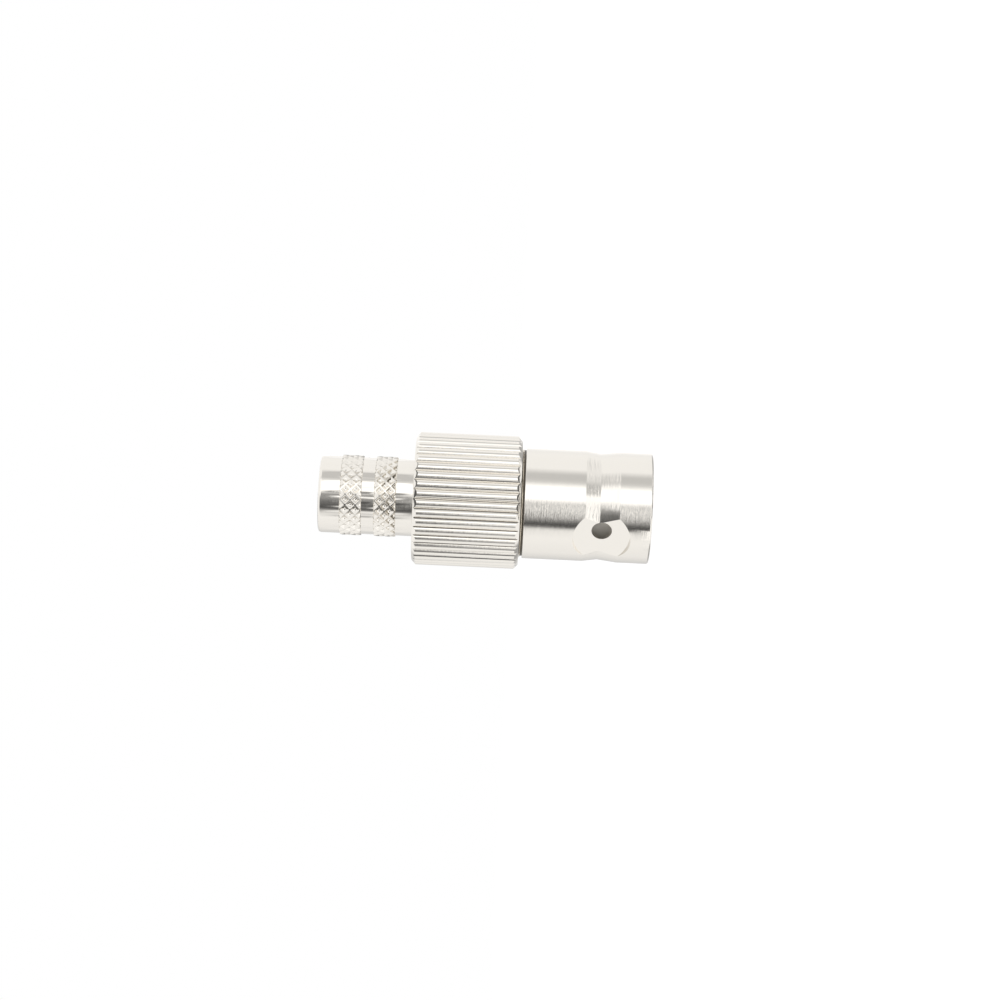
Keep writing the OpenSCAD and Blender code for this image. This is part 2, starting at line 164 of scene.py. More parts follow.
# Each stop is a direction round the axis, in degrees from the camera, and how
# bright the tent is there. The front of the plug looks into one part of the
# tent and its cable end into another, where the dark flag reaches further up.
TENT_BELOW = [(-180, 0.7), (-155, 0.75), (-140, 0.9), (-120, 1.04), (-75, WALL)]
TENT_ABOVE = [
    (11, SOFT_BOX),
    (34, SOFT_BOX),
    (42, 1.08),
    (47, 0.8),
    (54, GAP),
    (65, GAP),
    (79, WALL),
    (125, WALL),
    (142, 1.06),
    (172, 1.25),
    (180, 1.1),
]
TENT_FRONT = [
    *TENT_BELOW,
    (-54, 1.08),
    (-48, FLAG),
    (-42, 0.07),
    (-37, 0.25),
    (-33, 0.48),
    (-25, 0.88),
    (-16, 1.08),
    (-8, 1.16),
    (0, 1.08),
    (4, 1.16),
    *TENT_ABOVE,
]
TENT_REAR = [
    *TENT_BELOW,
    (-60, 0.92),
    (-49, 0.45),
    (-44, 0.17),
    (-40, 0.1),
    (-30, 0.15),
    (-18, 0.26),
    (-12, 0.36),
    (-4, 0.36),
    (1, 0.42),
    (5, 0.95),
    (8, WALL),
    *TENT_ABOVE,
]
# Low down the tent is open to the white table, with grey strips between
TENT_LOW = [
    (-180, WALL),
    (-150, 0.45),
    (-115, 0.45),
    (-90, WALL),
    (-60, 1.35),
    (19, 1.35),
    (27, 0.62),
    (44, 0.62),
    (54, 0.95),
    (70, WALL),
    (125, 0.5),
    (150, 0.5),
    (180, WALL),
]
# Higher up, the soft box comes down to the flag
TENT_HIGH = [
    *TENT_BELOW,
    (-60, 0.95),
    (-50, 0.5),
    (-42, 0.13),
    (-18, 0.16),
    (-10, 0.4),
    (-2, 1.3),
    (44, 1.35),
    (52, 0.9),
    (60, WALL),
    (180, WALL),
]
# The tent is open at both ends, where the plug's chamfers find the dark room
TENT_END = [(-180, WALL), (90, WALL), (96, FLAG), (124, FLAG), (131, WALL)]


def maths(operation, *values):
    return add_node(
        tree, "ShaderNodeMath", dict(enumerate(values)), operation=operation
    ).outputs[0]


def smooth_step(value, start, end):
    return add_node(
        tree,
        "ShaderNodeMapRange",
        {"Value": value, "From Min": start, "From Max": end},
        interpolation_type="SMOOTHSTEP",
    ).outputs[0]


direction = add_node(tree, "ShaderNodeTexCoord").outputs["Generated"]
parts = add_node(tree, "ShaderNodeSeparateXYZ", {0: direction})
x, y, z = parts.outputs
bearing = maths("SUBTRACT", maths("ARCTAN2", y, x), radians(FACING_DEG))
bearing = maths("WRAP", bearing, pi, -pi)
bearing = maths("DEGREES", bearing)
share = maths("ADD", maths("DIVIDE", bearing, 360), 0.5)
rise = maths("DEGREES", maths("ARCSINE", z))
steep = maths("ABSOLUTE", rise)


def tent(stops):
    ramp = add_node(tree, "ShaderNodeValToRGB", {0: share})
    set_ramp(ramp, [((angle + 180) / 360, grey(level)) for angle, level in stops])
    return ramp.outputs[0]


def blend_tents(factor, first, second):
    return add_node(
        tree, "ShaderNodeMix", {0: factor, 6: first, 7: second}, data_type="RGBA"
    ).outputs[2]


# What takes over, and between which two angles, as a reflection gets steeper
room = tent(TENT_FRONT)
for angle, start, end, ring in [
    (rise, -0.2, 2.1, tent(TENT_REAR)),
    (rise, -4.4, -6.5, tent(TENT_REAR)),
    (rise, -10, -14, tent(TENT_LOW)),
    (rise, 5, 9, tent(TENT_HIGH)),
    (rise, 25, 40, grey(WALL)),
    (steep, 46, 52, tent(TENT_END)),
    (steep, 77, 81, grey(FLAG)),
]:
    room = blend_tents(smooth_step(angle, start, end), room, ring)
seen = add_node(tree, "ShaderNodeLightPath").outputs["Is Camera Ray"]
shown = blend_tents(seen, room, grey(1))
glow = add_node(tree, "ShaderNodeBackground", {"Color": shown})
add_node(tree, "ShaderNodeOutputWorld", {"Surface": glow.outputs[0]})
print("tent:", len(tree.nodes), "nodes")

# %% [markdown]
# The table is a wide white sheet. It is white to the camera, with just enough
# of its own shading left to hold the plug's faint shadow. Reflections pass
# through it to the tent, because the plug was lit with nothing near it.
# %% Table
bpy.ops.object.select_all(action="DESELECT")
TABLE_SIZE_M = 4
bpy.ops.mesh.primitive_plane_add(size=TABLE_SIZE_M)
table = bpy.context.object
table.name = "table"
paper = bpy.data.materials.new("white paper")
paper.use_nodes = True
tree = paper.node_tree
tree.nodes.clear()
# To the camera the sheet mostly glows, and a little of its shading is added
TABLE_GLOW = 0.8
TABLE_SHADE = 0.28
PAPER_WHITE = 0.9
sheet = add_node(tree, "ShaderNodeBsdfDiffuse", {"Color": grey(TABLE_SHADE)})
glow = add_node(tree, "ShaderNodeEmission", {"Strength": TABLE_GLOW})
plain = add_node(tree, "ShaderNodeBsdfDiffuse", {"Color": grey(PAPER_WHITE)})
both = add_node(tree, "ShaderNodeAddShader", {0: sheet.outputs[0], 1: glow.outputs[0]})
path = add_node(tree, "ShaderNodeLightPath")
seen = add_node(
    tree,
    "ShaderNodeMixShader",
    {0: path.outputs["Is Camera Ray"], 1: plain.outputs[0], 2: both.outputs[0]},
)
clear = add_node(tree, "ShaderNodeBsdfTransparent")
mirrored = add_node(
    tree,
    "ShaderNodeMixShader",
    {0: path.outputs["Is Glossy Ray"], 1: seen.outputs[0], 2: clear.outputs[0]},
)
add_node(tree, "ShaderNodeOutputMaterial", {"Surface": mirrored.outputs[0]})
table.data.materials.append(paper)
print(f"table: {TABLE_SIZE_M} m across, level with the mating face")

# %% [markdown]
# Nickel plate is a warm white metal. Under it, the brass keeps the marks of
# how it was cut. A lathe leaves fine rings, so the sleeve spreads its
# reflections along the axis; the rest was cut with a finer feed and tumbled
# bright. All the metals are one function with different depths of ring.
# %% Metal finishes
NICKEL = "#E6E2DB"
DENT_MM = 0.9
# Most of a noise pattern lies between these two heights
NOISE_LOW, NOISE_HIGH = 0.3, 0.7


def new_finish(name):
    finish = bpy.data.materials.new(name)
    finish.use_nodes = True
    finish.node_tree.nodes.clear()
    return finish, finish.node_tree


def turned_metal(
    name, colour, roughness, ring_mm, arc_mm, depth_um, dents_um, metallic=1.0
):
    """Metal with turning marks: ring_mm apart, arc_mm long, depth_um deep."""
    finish, tree = new_finish(name)
    place = add_node(tree, "ShaderNodeTexCoord").outputs["Object"]
    # A noise cell is about one unit wide, so the scale is one over its size
    along = add_node(
        tree,
        "ShaderNodeMapping",
        {
            "Vector": place,
            "Scale": (1 / (arc_mm * MM), 1 / (arc_mm * MM), 1 / (ring_mm * MM)),
        },
    )
    marks = add_node(
        tree,
        "ShaderNodeTexNoise",
        {"Vector": along.outputs[0], "Scale": 1, "Detail": 3, "Roughness": 0.6},
    )
    dents = add_node(
        tree,
        "ShaderNodeTexNoise",
        {"Vector": place, "Scale": 1 / (DENT_MM * MM), "Detail": 2, "Roughness": 0.5},
    )
    cut = add_node(
        tree,
        "ShaderNodeBump",
        {"Height": marks.outputs[0], "Distance": depth_um * MM * MM},
    )
    worn = add_node(
        tree,
        "ShaderNodeBump",
        {
            "Height": dents.outputs[0],
            "Distance": dents_um * MM * MM,
            "Normal": cut.outputs[0],
        },
    )
    dull = add_node(
        tree,
        "ShaderNodeMapRange",
        {
            "Value": marks.outputs[0],
            "From Min": NOISE_LOW,
            "From Max": NOISE_HIGH,
            "To Min": roughness * 0.75,
            "To Max": roughness * 1.25,
        },
    )
    shader = add_node(
        tree,
        "ShaderNodeBsdfPrincipled",
        {
            "Base Color": linear(colour),
            "Metallic": metallic,
            "Roughness": dull.outputs[0],
            "Normal": worn.outputs[0],
        },
    )
    add_node(tree, "ShaderNodeOutputMaterial", {"Surface": shader.outputs[0]})
    print("finish:", name)
    return finish


# Rings a fifth of a millimetre apart blur the sleeve's reflections. The real
# ones are shallower: they are cut deep here so that they show
sleeve_nickel = turned_metal("nickel plate, turned", NICKEL, 0.11, 0.2, 1.4, 12, 1)
# Tumbled before plating: almost a mirror, with soft dents
bright_nickel = turned_metal("nickel plate, bright", NICKEL, 0.08, 0.3, 1.5, 1.5, 3)
# Not tumbled: the contact keeps a frosted skin, which lights up inside the holes
frosted_nickel = turned_metal(
    "nickel plate, frosted", NICKEL, 0.75, 0.2, 1, 1, 1, metallic=0.3
)
# Painted shade: the narrow undercut beside the ring gets a dark colour for the shade
# that falls in it
painted_shade_nickel = turned_metal("nickel plate, painted shade", "#5F5A52", 0.4, 0.2, 1, 2, 2)
# Thin gold over nickel: pale, and turned on a small lathe, so its rings are close
gold = turned_metal("gold plate, turned", "#E9BE6A", 0.15, 0.15, 1, 0.6, 0.5)
# Rolled strip: brown, and duller than a turned face
bronze = turned_metal("phosphor bronze strip", "#C08A5A", 0.25, 0.4, 2, 0.5, 1)

# %% [markdown]
# The insulators are PTFE: waxy, dead white and slightly translucent.
# The gasket is moulded silicone, matt with a fine grain. Neither shows much,
# but both are seen when the plug is looked at from its mating face.
# %% Plastic finishes
SOFT_IOR = 1.38
GLOW_SHARE = 0.3


def moulded(name, colour, roughness, glow_mm, grain_mm, grain_um):
    """A soft plastic: light goes glow_mm into it, and a grain breaks its gloss."""
    finish, tree = new_finish(name)
    place = add_node(tree, "ShaderNodeTexCoord").outputs["Object"]
    grain = add_node(
        tree,
        "ShaderNodeTexNoise",
        {"Vector": place, "Scale": 1 / (grain_mm * MM), "Detail": 3},
    )
    skin = add_node(
        tree,
        "ShaderNodeBump",
        {"Height": grain.outputs[0], "Distance": grain_um * MM * MM},
    )
    shader = add_node(
        tree,
        "ShaderNodeBsdfPrincipled",
        {
            "Base Color": linear(colour),
            "Roughness": roughness,
            "IOR": SOFT_IOR,
            "Subsurface Weight": GLOW_SHARE,
            "Subsurface Radius": (1, 1, 1),
            "Subsurface Scale": glow_mm * MM,
            "Normal": skin.outputs[0],
        },
    )
    add_node(tree, "ShaderNodeOutputMaterial", {"Surface": shader.outputs[0]})
    print("finish:", name)
    return finish


# Waxy: light goes a third of a millimetre in, so its edges look soft
ptfe = moulded("PTFE, skived", "#F4F3EF", 0.4, 0.3, 0.15, 1)
# Brick red and matt, with the fine grain of its mould
silicone = moulded("silicone, moulded", "#C9553C", 0.55, 0.1, 0.1, 2)

# %% [markdown]
# A lathe turns an outline into a solid, and so does Spin. The outline starts
# as one point, a plane merged into its middle, which is pulled from corner to
# corner and then spun once round the axis. Where the spin meets itself the
# doubles are merged, and only then are the faces turned outwards.
# %% Lathe
SPIN_STEPS = 180
# Vertices nearer than this, in metres, are one
TINY = 1e-7


def turned(name, outline, steps=SPIN_STEPS):
    """Spins a closed outline of (radius, height) corners, in millimetres."""
    bpy.ops.object.select_all(action="DESELECT")
    bpy.ops.mesh.primitive_plane_add(size=MM)
    piece = bpy.context.object
    piece.name = name
    bpy.ops.object.mode_set(mode="EDIT")
    bpy.ops.mesh.select_mode(type="VERT")
    bpy.ops.mesh.merge(type="CENTER")
    first = outline[0]
    bpy.ops.transform.translate(value=(first[0] * MM, 0, first[1] * MM))
    for here, there in zip(outline, [*outline[1:], first]):
        step = ((there[0] - here[0]) * MM, 0, (there[1] - here[1]) * MM)
        bpy.ops.mesh.extrude_vertices_move(TRANSFORM_OT_translate={"value": step})
    bpy.ops.mesh.select_all(action="SELECT")
    bpy.ops.mesh.remove_doubles(threshold=TINY)
    bpy.ops.mesh.spin(steps=steps, angle=2 * pi, center=(0, 0, 0), axis=(0, 0, 1))
    bpy.ops.mesh.select_all(action="SELECT")
    bpy.ops.mesh.remove_doubles(threshold=TINY)
    bpy.ops.mesh.normals_make_consistent(inside=False)
    bpy.ops.object.mode_set(mode="OBJECT")
    return piece


def apply(piece, kind, **settings):
    """Adds a modifier and applies it."""
    modifier = piece.modifiers.new(kind.lower(), kind)
    for key, value in settings.items():
        setattr(modifier, key, value)
    bpy.ops.object.select_all(action="DESELECT")
    piece.select_set(True)
    bpy.context.view_layer.objects.active = piece
    bpy.ops.object.modifier_apply(modifier=modifier.name)
    return piece


def break_edges(piece, width_mm, from_deg=30):
    """Rounds every edge sharper than from_deg, as a deburring brush does."""
    return apply(
        piece,
        "BEVEL",
        width=width_mm * MM,
        segments=2,
        limit_method="ANGLE",
        angle_limit=radians(from_deg),
    )


def cut_away(piece, *tools, operation="DIFFERENCE"):
    """Cuts a piece with tools, which are then thrown away."""
    for tool in tools:
        apply(piece, "BOOLEAN", object=tool, operation=operation, solver="EXACT")
        bpy.data.objects.remove(tool)
    return piece


def finish_piece(piece, body, slot, *materials, sharp_deg=32):
    """Smooths the shading, gives the finish, and hands the piece to its body."""
    bpy.ops.object.select_all(action="DESELECT")
    piece.select_set(True)
    bpy.context.view_layer.objects.active = piece
    bpy.ops.object.transform_apply()
    bpy.ops.object.shade_smooth_by_angle(angle=radians(sharp_deg))
    apply(piece, "WEIGHTED_NORMAL", keep_sharp=True)
    for material in materials:
        piece.data.materials.append(material)
    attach(piece, body)
    print(f"{piece.name}: {len(piece.data.polygons)} faces")
    return piece


# %% [markdown]
# The coupling nut is one turning: a smooth sleeve that takes the jack, and a
# thicker grip ring. Here it is spun as one blank. The ring is left a little
# too thick, because its ribs are cut from it last. A real nut's neck groove is
# shallow and has long slopes, and a narrow undercut parts sleeve and ring.
# %% Coupling nut: the blank
SLEEVE_R = 6.05
SLEEVE_LEN = 14.2
BORE_R = 4.95
LIP_R = 4.245
LIP_T = 2.6
LIP_FIT = 0.05
RECESS_R = 5.9
UNDERCUT_W = 0.4
LOCK_Z = 5.35
NECK_R = 5.8
NECK_Z = LOCK_Z + 0.25
NECK_FRONT_W = 2.1
NECK_REAR_W = 1.65
RIM = 0.15
CHAMFER = 0.45
BORE_CHAMFER = 0.3
SPARE = 0.1

crest_r = radius("coupling_nut")
nut_len = high("coupling_nut")
ring_low = crest_r - CHAMFER
lip_z = low("retaining_ring") - LIP_FIT - LIP_T
undercut_z = SLEEVE_LEN - UNDERCUT_W
nut = turned(
    "coupling_nut_turned",
    [
        (BORE_R + BORE_CHAMFER, 0),
        (SLEEVE_R - RIM, 0),
        (SLEEVE_R, RIM),
        (SLEEVE_R, NECK_Z - NECK_FRONT_W),
        (NECK_R, NECK_Z),
        (SLEEVE_R, NECK_Z + NECK_REAR_W),
        (SLEEVE_R, undercut_z),
        # The undercut's floor, and the curve from it up to the ring's face
        (SLEEVE_R - 0.3, undercut_z),
        (SLEEVE_R - 0.25, SLEEVE_LEN - 0.22),
        (SLEEVE_R - 0.12, SLEEVE_LEN - 0.09),
        (SLEEVE_R + 0.1, SLEEVE_LEN),
        (ring_low, SLEEVE_LEN),
        (crest_r + SPARE, SLEEVE_LEN + CHAMFER + SPARE),
        (crest_r + SPARE, nut_len - CHAMFER - SPARE),
        (ring_low, nut_len),
        (RECESS_R + BORE_CHAMFER, nut_len),
        (RECESS_R, nut_len - BORE_CHAMFER),
        (RECESS_R, lip_z + LIP_T),
        (LIP_R, lip_z + LIP_T),
        (LIP_R, lip_z),
        (BORE_R, lip_z),
        (BORE_R, BORE_CHAMFER),
    ],
)
EDGE_BREAK = 0.05
SHALLOWEST_DEG = 5
break_edges(nut, EDGE_BREAK, from_deg=SHALLOWEST_DEG)
# Turned a little, so that no cutter's edge falls exactly on one of the blank's
BLANK_TURN_DEG = 0.7
nut.rotation_euler.z = radians(BLANK_TURN_DEG)
bpy.ops.object.transform_apply()
print("blank:", len(nut.data.polygons), "faces, r", round(crest_r, 2))

# %% [markdown]
# Two flats are milled on the sleeve where the jack's studs lock, and a hole is
# drilled through each a few degrees round from its middle. Inside, a cam
# groove runs from the front edge up to the hole: the stud climbs it as the nut
# is turned. The groove's cutter is a rectangle swept round step by step. Exact
# cuts need care: where two cutters only touch, they can leave stray faces.
# %% Coupling nut: flats, lock holes and cam grooves
# Cutters reach this far in from the bore and out to this radius
INSIDE = 1
OUTSIDE_R = 8
FLAT_X = 5.5
FLAT_R = 3.15
HOLE_R = 1.1
HOLE_SHIFT_DEG = 9
# The flats would just break into a full-depth cam groove, so a skin is left
CAM_R = 5.46
# A hair narrower than the hole, so that their cutters don't only touch
CAM_W = 2 * HOLE_R - 0.06
CAM_TURN_DEG = 90
CAM_STEPS = 18
CAM_START_Z = 2
CAM_PEAK = 0.5
# The groove climbs over this share of its way, and drops over the last share
CAM_CLIMB = 0.8
CAM_DROP = 0.1
DRILL_SIDES = 96

cutter_start = BORE_R - INSIDE
cutter_depth = CAM_R - cutter_start
cutter_middle = (CAM_R + cutter_start) / 2


def drill(r, start, end, height, turn_deg):
    """A round cutter that points outwards from the axis."""
    way = Vector((cos(radians(turn_deg)), sin(radians(turn_deg)), 0))
    bpy.ops.object.select_all(action="DESELECT")
    bpy.ops.mesh.primitive_cylinder_add(
        vertices=DRILL_SIDES,
        radius=r * MM,
        depth=(end - start) * MM,
        location=(way * (start + end) / 2 + Vector((0, 0, height))) * MM,
        rotation=(0, pi / 2, radians(turn_deg)),
    )
    tool = bpy.context.object
    bpy.ops.object.transform_apply()
    return tool


def cam_height(share):
    """Height of the cam groove's middle, from its entry (0) to its lock (1)."""
    peak = LOCK_Z + CAM_PEAK
    climbed = min(share / CAM_CLIMB, 1)
    dropped = max(share - 1 + CAM_DROP, 0) / CAM_DROP
    return CAM_START_Z + (peak - CAM_START_Z) * climbed - CAM_PEAK * dropped


def turn_about_axis(angle):
    """In edit mode: turns what is selected round the axis, anticlockwise."""
    bpy.ops.transform.rotate(value=-angle, orient_axis="Z", center_override=(0, 0, 0))


def cam_cutter(turn_deg):
    """A rectangle swept round the axis, up to the peak and down to the lock."""
    bpy.ops.object.select_all(action="DESELECT")
    bpy.ops.mesh.primitive_plane_add(size=MM, rotation=(pi / 2, 0, 0))
    tool = bpy.context.object
    bpy.ops.object.transform_apply()
    bpy.ops.object.mode_set(mode="EDIT")
    bpy.ops.transform.resize(value=(cutter_depth, 1, CAM_W))
    bpy.ops.transform.translate(value=(cutter_middle * MM, 0, CAM_START_Z * MM))
    turn_about_axis(radians(turn_deg - CAM_TURN_DEG))
    for i in range(CAM_STEPS):
        lift = cam_height((i + 1) / CAM_STEPS) - cam_height(i / CAM_STEPS)
        bpy.ops.mesh.extrude_region_move(
            TRANSFORM_OT_translate={"value": (0, 0, lift * MM)}
        )
        turn_about_axis(radians(CAM_TURN_DEG / CAM_STEPS))
    bpy.ops.mesh.select_all(action="SELECT")
    bpy.ops.mesh.normals_make_consistent(inside=False)
    bpy.ops.object.mode_set(mode="OBJECT")
    return tool


def entry_slot(turn_deg):
    """The straight way in, from below the front edge to the cam's start."""
    end = CAM_START_Z + HOLE_R
    bpy.ops.object.select_all(action="DESELECT")
    bpy.ops.mesh.primitive_cube_add(size=MM)
    tool = bpy.context.object
    bpy.ops.object.mode_set(mode="EDIT")
    bpy.ops.transform.resize(value=(cutter_depth, 2 * HOLE_R, end + INSIDE))
    bpy.ops.transform.translate(
        value=(cutter_middle * MM, 0, (end - INSIDE) / 2 * MM)
    )
    turn_about_axis(radians(turn_deg - CAM_TURN_DEG))
    bpy.ops.object.mode_set(mode="OBJECT")
    return tool


for side_deg in (0, 180):
    lock_deg = side_deg + HOLE_SHIFT_DEG
    cut_away(
        nut,
        drill(FLAT_R, FLAT_X, OUTSIDE_R, LOCK_Z, side_deg),
        cam_cutter(lock_deg),
        entry_slot(lock_deg),
        drill(HOLE_R, cutter_start, OUTSIDE_R, LOCK_Z, lock_deg),
    )
print("openings:", len(nut.data.polygons), "faces")

# %% [markdown]
# The ribs are straight rolled beads. A drum with twelve sides to every bead is
# shaped into them by drawing in all the edges at the same place on every bead
# at once, and the blank is cut down to the part that lies inside the drum.
# The chamfers then end each bead in a small arch, as on the real ring.
# %% Coupling nut: the ribs
RIB_COUNT = 42
RIB_DEPTH = 0.32
# How far the beads are turned from the flats
RIB_TURN_DEG = -1.8
BEAD_SIDES = 12
DRUM_SPARE = 4

# A bead is an arc through its crest and through the bottom of both its grooves
rib_half = pi / RIB_COUNT
groove_r = crest_r - RIB_DEPTH
bead_centre = (crest_r**2 - groove_r**2) / (2 * (crest_r - groove_r * cos(rib_half)))
bead_r = crest_r - bead_centre


def select_by(piece, wanted):
    """In edit mode: selects the vertices for which wanted(x, y, z) in mm is true."""
    bpy.ops.mesh.select_all(action="DESELECT")
    bpy.ops.object.mode_set(mode="OBJECT")
    for v in piece.data.vertices:
        v.select = wanted(*(v.co / MM))
    bpy.ops.object.mode_set(mode="EDIT")


bpy.ops.object.select_all(action="DESELECT")
bpy.ops.mesh.primitive_cylinder_add(
    vertices=RIB_COUNT * BEAD_SIDES,
    radius=crest_r * MM,
    depth=(nut_len + DRUM_SPARE) * MM,
    location=(0, 0, nut_len / 2 * MM),
)
drum = bpy.context.object
bpy.ops.object.transform_apply()
bpy.ops.object.mode_set(mode="EDIT")
bpy.ops.mesh.select_mode(type="VERT")
side = 2 * pi / (RIB_COUNT * BEAD_SIDES)
for step in range(1, BEAD_SIDES):
    angle = min(step, BEAD_SIDES - step) * side
    reach = bead_centre * cos(angle) + sqrt(bead_r**2 - (bead_centre * sin(angle)) ** 2)
    select_by(drum, lambda x, y, z: round(atan2(y, x) / side) % BEAD_SIDES == step)
    bpy.ops.transform.resize(
        value=(reach / crest_r, reach / crest_r, 1), center_override=(0, 0, 0)
    )
bpy.ops.mesh.select_all(action="SELECT")
turn_about_axis(radians(RIB_TURN_DEG))
bpy.ops.object.mode_set(mode="OBJECT")
cut_away(nut, drum, operation="INTERSECT")
print("ribs:", RIB_COUNT, "beads,", len(nut.data.polygons), "faces")

# %% [markdown]
# Smooth shading blurs every edge that is nearly flat, and each flat meets the
# sleeve at such a low angle that it would look like cut glass. So the edges of
# all faces that look straight along X are marked sharp by hand. Then the nut
# gets its three finishes: turned on the sleeve, bright on the ring, and a dark
# painted shade in the undercut between them.
# %% Coupling nut: shading and finishes
ALONG_X = 0.999
# Places that are this close count as the same
CLOSE = 0.02
UNDERCUT_R = SLEEVE_R - 0.2
RING_FACE_Z = SLEEVE_LEN - 0.05

facing_x = 0
for face in nut.data.polygons:
    outside = abs(face.center.x) > (FLAT_X - CLOSE) * MM
    face.select = abs(face.normal.x) > ALONG_X and outside
    facing_x += face.select
bpy.ops.object.mode_set(mode="EDIT")
bpy.ops.mesh.select_mode(type="FACE")
bpy.ops.mesh.mark_sharp()
bpy.ops.object.mode_set(mode="OBJECT")
print("faces with a sharp rim:", facing_x)

finish_piece(
    nut, "coupling", "nickel_plate", sleeve_nickel, bright_nickel, painted_shade_nickel
)
for face in nut.data.polygons:
    reach, height = face.center.xy.length / MM, face.center.z / MM
    if height > RING_FACE_Z:
        face.material_index = 1
    # Faces in the undercut take the dark colour, which is painted shade
    elif BORE_R < reach < UNDERCUT_R and height > undercut_z:
        face.material_index = 2
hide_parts("coupling_nut")

# %% [markdown]
# The ferrule is a drawn tube with two knurled bands. A knurling wheel raises a
# net of crossing ridges and leaves a sunk diamond in each mesh of the net. The
# bands are spun with ten fine steps to each mesh, and then every vertex moves
# in or out by how near it is to a ridge, all of the same distance together.
# %% Crimp ferrule
MESHES = 24
FINE = 10
KNURL_PITCH = 1.13
KNURL_ROWS = 2
BAND_W = KNURL_ROWS * KNURL_PITCH
FIRST_BAND = 2.25
BAND_GAP = 1.46
BAND_EDGE = 0.06
TUBE_R = 4.2
TUBE_BORE_R = 3.75
BORE_BREAK = 0.05
# The rounding of both ends: how far in along the axis, and how far down
END_ROUND = ((0, 0.3), (0.09, 0.09), (0.3, 0), (0.34, 0))
# Radius of the knurl on a ridge, and one to five fine steps away from it
KNURL_R = (4.37, 4.34, 4.24, 4.15, 4.12, 4.12)

ferrule_low = low("crimp_ferrule")
ferrule_end = high("crimp_ferrule")
band_start = ferrule_low + FIRST_BAND
band_starts = (band_start, band_start + BAND_W + BAND_GAP)


def band_rows(start):
    """The rows of vertices in a band, and one more just outside each edge."""
    rows = KNURL_ROWS * FINE
    inner = [(TUBE_R, start + i * BAND_W / rows) for i in range(rows + 1)]
    before, after = start - BAND_EDGE, start + BAND_W + BAND_EDGE
    return [(TUBE_R, before), *inner, (TUBE_R, after)]


ferrule = turned(
    "crimp_ferrule_knurled",
    [
        (TUBE_BORE_R, ferrule_low),
        *[(TUBE_R - down, ferrule_low + along) for along, down in END_ROUND],
        *band_rows(band_starts[0]),
        *band_rows(band_starts[1]),
        *[(TUBE_R - down, ferrule_end - along) for along, down in END_ROUND[::-1]],
        (TUBE_BORE_R + BORE_BREAK, ferrule_end),
        (TUBE_BORE_R, ferrule_end - BORE_BREAK),
    ],
    steps=MESHES * FINE,
)


def ridge_steps(x, y, z):
    """Fine steps from a vertex of a band to the nearest ridge, or None."""
    if sqrt(x * x + y * y) < TUBE_R - CLOSE:
        return None
    for start in band_starts:
        row = (z - start) / KNURL_PITCH * FINE
        if -CLOSE < row < KNURL_ROWS * FINE + CLOSE:
            column = round(atan2(y, x) / (2 * pi) * MESHES * FINE)
            row = round(row)
            ways = ((column + row) % FINE, (column - row) % FINE)
            return min(min(way, FINE - way) for way in ways)
    return None


bpy.ops.object.mode_set(mode="EDIT")
bpy.ops.mesh.select_mode(type="VERT")
for steps, reach in enumerate(KNURL_R):
    # All vertices that are this many fine steps from a ridge move together
    select_by(ferrule, lambda x, y, z: ridge_steps(x, y, z) == steps)
    bpy.ops.transform.resize(
        value=(reach / TUBE_R, reach / TUBE_R, 1), center_override=(0, 0, 0)
    )
bpy.ops.object.mode_set(mode="OBJECT")
# The knurl's slopes stay soft up to this angle
KNURL_DEG = 38
finish_piece(ferrule, "ferrule", "nickel_plate", bright_nickel, sharp_deg=KNURL_DEG)
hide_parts("crimp_ferrule")

# %% [markdown]
# Everything inside the nut is turned too, so one table of outlines serves for
# all of it. Each piece fills the place of its solid: the body with its flange
# and barrel, the insulators, the pin with its round tip, the washers and the
# hollow stem that the cable's inner conductor and insulation go into.
# %% Outlines of the inner pieces
FIT = 0.02
BARREL_R = 4.175
BODY_BORE_R = 3.3
CONTACT_R = 4.05
CONTACT_BORE_R = 3.5
CONTACT_RIM = 0.15
COLLAR_R = 4.25
RING_GROOVE = 0.4
CAVITY_R = 2.425
CAVITY_DEPTH = 5.8
WEB_T = 1
HEAD_R = radius("centre_pin")
HEAD_LEN = 1.5
PIN_R = HEAD_R - 0.625
SHANK_R = 0.95
CUP_R = 0.55
CUP_DEPTH = 3.5
HUB_CHAMFER = 0.3
BOSS_LEN = 1
BOSS_FIT = 0.05
STEM_R = 2.85
STEM_CHAMFER = 0.2
STEM_GRIP = 0.12
GRIP_PITCH = 0.8
CABLE_R = 2.4

flange_r = radius("plug_body")
contact_low = low("outer_contact")
collar_low = low("gasket")
shoulder = high("outer_contact")
insulator_low = low("front_insulator")
cavity_end = insulator_low + CAVITY_DEPTH
web_end = cavity_end + WEB_T
head_low = shoulder - HEAD_LEN
pin_low = low("centre_pin")
pin_end = high("centre_pin")
cup_end = pin_end - CUP_DEPTH
body_end = high("plug_body")
ring_seat = low("retaining_ring") - FIT
ring_seat_end = high("retaining_ring") + FIT
groove_floor_r = BARREL_R - RING_GROOVE
hub_r = radius("crimp_stem")
hub_end = ferrule_low
boss_r = TUBE_BORE_R - BOSS_FIT
boss_end = hub_end + BOSS_LEN
stem_end = high("crimp_stem")


def washer(node, hole_r):
    """A flat ring that fills its solid's box."""
    r, start, end = radius(node), low(node), high(node)
    return [(hole_r, start), (r, start), (r, end), (hole_r, end)]


def stem_grips():
    """The stem's outside from the boss to its end, with small vee grooves."""
    points = [(STEM_R, boss_end)]
    height = boss_end + GRIP_PITCH
    while height < stem_end - GRIP_PITCH:
        points += [
            (STEM_R, height - STEM_GRIP),
            (STEM_R - STEM_GRIP, height),
            (STEM_R, height + STEM_GRIP),
        ]
        height += GRIP_PITCH
    return points


